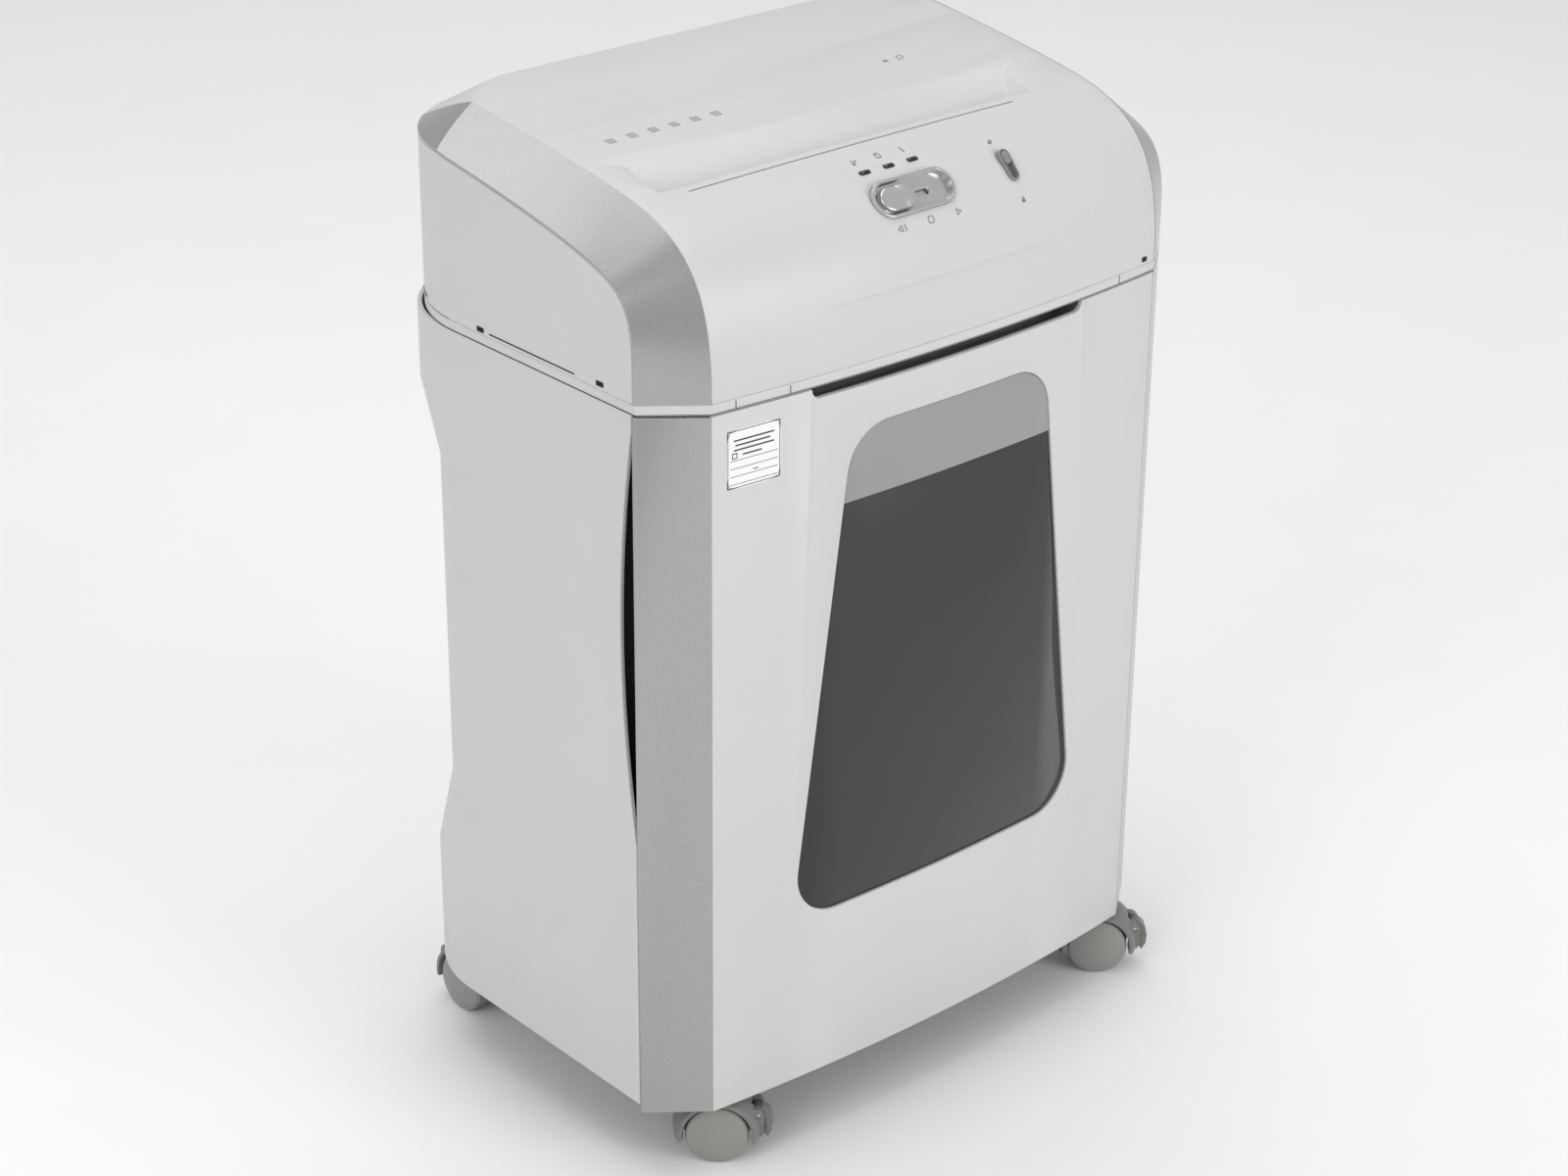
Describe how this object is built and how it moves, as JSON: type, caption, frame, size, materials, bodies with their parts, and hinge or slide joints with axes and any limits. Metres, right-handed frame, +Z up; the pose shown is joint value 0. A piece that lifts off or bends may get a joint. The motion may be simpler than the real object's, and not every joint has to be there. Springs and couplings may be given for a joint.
{
  "type": "paper shredder",
  "caption": "Deskside paper shredder with a curved head, paper slot and control slider above a windowed pull-out bin, in a cabinet on swivel casters.",
  "frame": {"origin": "on the floor, under the middle of the whole object's box", "axes": "+X to the right as seen from the front, +Y to the back, +Z up"},
  "size_m": [0.35, 0.2434, 0.5293],
  "materials": {
    "white_housing": "satin moulded, fine texture",
    "silver_trim": "metallic silver lacquer",
    "silver_control": "metallic silver lacquer, polished edges",
    "lock_grey": "satin",
    "black_lens": "glossy smoked",
    "smoke_window": "clear smoked, glossy",
    "grey_header": "satin",
    "grey_bin": "fine texture",
    "base_plastic": "matt",
    "plated_steel": "zinc plated",
    "cutter_steel": "hardened, oiled",
    "sintered_bronze": "sintered",
    "black_nylon": "matt",
    "gear_nylon": "moulded",
    "gear_steel": "sintered",
    "motor_steel": "zinc plated can",
    "circuit_board": "solder mask",
    "caster_hood_grey": "satin",
    "caster_wheel_grey": "satin",
    "pin_steel": "turned",
    "socket_nylon": "moulded"
  },
  "bodies": {
    "cabinet": {"cabinet_shell": "white_housing", "cabinet_base": "base_plastic", "caster_sockets": "socket_nylon", "lower_housing": "white_housing", "top_cover": "white_housing", "head_trim_left": "silver_trim", "head_trim_right": "silver_trim", "control_bezel": "silver_control", "lock_bezel": "lock_grey", "indicator_lenses": "black_lens", "throat_guide": "base_plastic", "side_plate_left": "plated_steel", "side_plate_right": "plated_steel", "gear_plate": "plated_steel", "tie_rods": "plated_steel", "gear_pins": "plated_steel", "shaft_bushes": "sintered_bronze", "stripper_comb_front": "black_nylon", "stripper_comb_rear": "black_nylon", "motor_body": "motor_steel", "control_board": "circuit_board", "selector_switch": "black_nylon", "interlock_switch": "black_nylon", "cord_gland": "base_plastic", "cover_screws": "pin_steel"},
    "bin": {"bin_front_panel": "white_housing", "bin_trim_left": "silver_trim", "bin_trim_right": "silver_trim", "window_pane": "smoke_window", "window_header": "grey_header", "bin_tub": "grey_bin", "bin_pull": "grey_bin", "bin_screws": "pin_steel"},
    "control_slider": {"control_slider": "silver_control"},
    "lock_slider": {"lock_slider": "lock_grey"},
    "paper_sensor": {"paper_sensor_lever": "black_nylon"},
    "rear_cutter": {"cutter_shaft_rear": "cutter_steel", "cutter_discs_rear": "cutter_steel", "cutter_gear_rear": "gear_steel"},
    "front_cutter": {"cutter_shaft_front": "cutter_steel", "cutter_discs_front": "cutter_steel", "cutter_gear_front": "gear_steel"},
    "second_gear": {"second_gear": "gear_nylon"},
    "first_gear": {"first_gear": "gear_nylon"},
    "motor_rotor": {"motor_rotor": "motor_steel", "motor_fan": "black_nylon"},
    "swivel_front_left": {"caster_hood_front_left": "caster_hood_grey", "caster_pins_front_left": "pin_steel"},
    "wheels_front_left": {"caster_wheels_front_left": "caster_wheel_grey"},
    "brake_front_left": {"caster_brake_front_left": "caster_hood_grey"},
    "swivel_front_right": {"caster_hood_front_right": "caster_hood_grey", "caster_pins_front_right": "pin_steel"},
    "wheels_front_right": {"caster_wheels_front_right": "caster_wheel_grey"},
    "brake_front_right": {"caster_brake_front_right": "caster_hood_grey"},
    "swivel_rear_left": {"caster_hood_rear_left": "caster_hood_grey", "caster_pins_rear_left": "pin_steel"},
    "wheels_rear_left": {"caster_wheels_rear_left": "caster_wheel_grey"},
    "swivel_rear_right": {"caster_hood_rear_right": "caster_hood_grey", "caster_pins_rear_right": "pin_steel"},
    "wheels_rear_right": {"caster_wheels_rear_right": "caster_wheel_grey"}
  },
  "joints": [
    {"name": "bin_slide", "type": "slide", "parent": "cabinet", "child": "bin", "axis": [0, -1, 0], "range_m": [0, 0.2]},
    {"name": "control_slide", "type": "slide", "parent": "cabinet", "child": "control_slider", "axis": [1, 0, 0], "range_m": [0, 0.0198]},
    {"name": "lock_slide", "type": "slide", "parent": "cabinet", "child": "lock_slider", "axis": [0, -0.6691, -0.7431], "range_m": [0, 0.0075]},
    {"name": "paper_sensor_tilt", "type": "hinge", "parent": "cabinet", "child": "paper_sensor", "pos_m": [-0.013, -0.03925, 0.488], "axis": [1, 0, 0], "range_deg": [0, 25], "stiffness_Nm_per_rad": 0.0006},
    {"name": "rear_cutter_turn", "type": "hinge", "parent": "cabinet", "child": "rear_cutter", "pos_m": [0, -0.03825, 0.458], "axis": [1, 0, 0], "continuous": true},
    {"name": "front_cutter_turn", "type": "hinge", "parent": "cabinet", "child": "front_cutter", "pos_m": [0, -0.06325, 0.458], "axis": [1, 0, 0], "continuous": true},
    {"name": "second_gear_turn", "type": "hinge", "parent": "cabinet", "child": "second_gear", "pos_m": [0.12, -0.0029, 0.47448], "axis": [1, 0, 0], "continuous": true},
    {"name": "first_gear_turn", "type": "hinge", "parent": "cabinet", "child": "first_gear", "pos_m": [0.13, 0.03468, 0.4608], "axis": [1, 0, 0], "continuous": true},
    {"name": "motor_turn", "type": "hinge", "parent": "cabinet", "child": "motor_rotor", "pos_m": [0.06, 0.06851, 0.47311], "axis": [1, 0, 0], "continuous": true},
    {"name": "swivel_front_left_turn", "type": "hinge", "parent": "cabinet", "child": "swivel_front_left", "pos_m": [-0.14, -0.08935, 0.045], "axis": [0, 0, 1], "continuous": true},
    {"name": "wheels_front_left_turn", "type": "hinge", "parent": "swivel_front_left", "child": "wheels_front_left", "pos_m": [-0.13101, -0.0973, 0.0165], "axis": [0.6626, 0.749, 0], "continuous": true},
    {"name": "brake_front_left_tilt", "type": "hinge", "parent": "swivel_front_left", "child": "brake_front_left", "pos_m": [-0.11514, -0.11135, 0.0255], "axis": [0.6626, 0.749, 0], "range_deg": [0, 18]},
    {"name": "swivel_front_right_turn", "type": "hinge", "parent": "cabinet", "child": "swivel_front_right", "pos_m": [0.14, -0.08935, 0.045], "axis": [0, 0, 1], "continuous": true},
    {"name": "wheels_front_right_turn", "type": "hinge", "parent": "swivel_front_right", "child": "wheels_front_right", "pos_m": [0.14899, -0.0973, 0.0165], "axis": [0.6626, 0.749, 0], "continuous": true},
    {"name": "brake_front_right_tilt", "type": "hinge", "parent": "swivel_front_right", "child": "brake_front_right", "pos_m": [0.16487, -0.11135, 0.0255], "axis": [0.6626, 0.749, 0], "range_deg": [0, 18]},
    {"name": "swivel_rear_left_turn", "type": "hinge", "parent": "cabinet", "child": "swivel_rear_left", "pos_m": [-0.14, 0.08465, 0.045], "axis": [0, 0, 1], "continuous": true},
    {"name": "wheels_rear_left_turn", "type": "hinge", "parent": "swivel_rear_left", "child": "wheels_rear_left", "pos_m": [-0.14, 0.09665, 0.0165], "axis": [-1, 0, 0], "continuous": true},
    {"name": "swivel_rear_right_turn", "type": "hinge", "parent": "cabinet", "child": "swivel_rear_right", "pos_m": [0.14, 0.08465, 0.045], "axis": [0, 0, 1], "continuous": true},
    {"name": "wheels_rear_right_turn", "type": "hinge", "parent": "swivel_rear_right", "child": "wheels_rear_right", "pos_m": [0.14, 0.09665, 0.0165], "axis": [-1, 0, 0], "continuous": true}
  ],
  "couplings": [
    {"joint": "front_cutter_turn", "follows": "rear_cutter_turn", "ratio": -1},
    {"joint": "second_gear_turn", "follows": "rear_cutter_turn", "ratio": -3.3333},
    {"joint": "first_gear_turn", "follows": "rear_cutter_turn", "ratio": 11.905},
    {"joint": "motor_turn", "follows": "rear_cutter_turn", "ratio": -59.524}
  ]
}
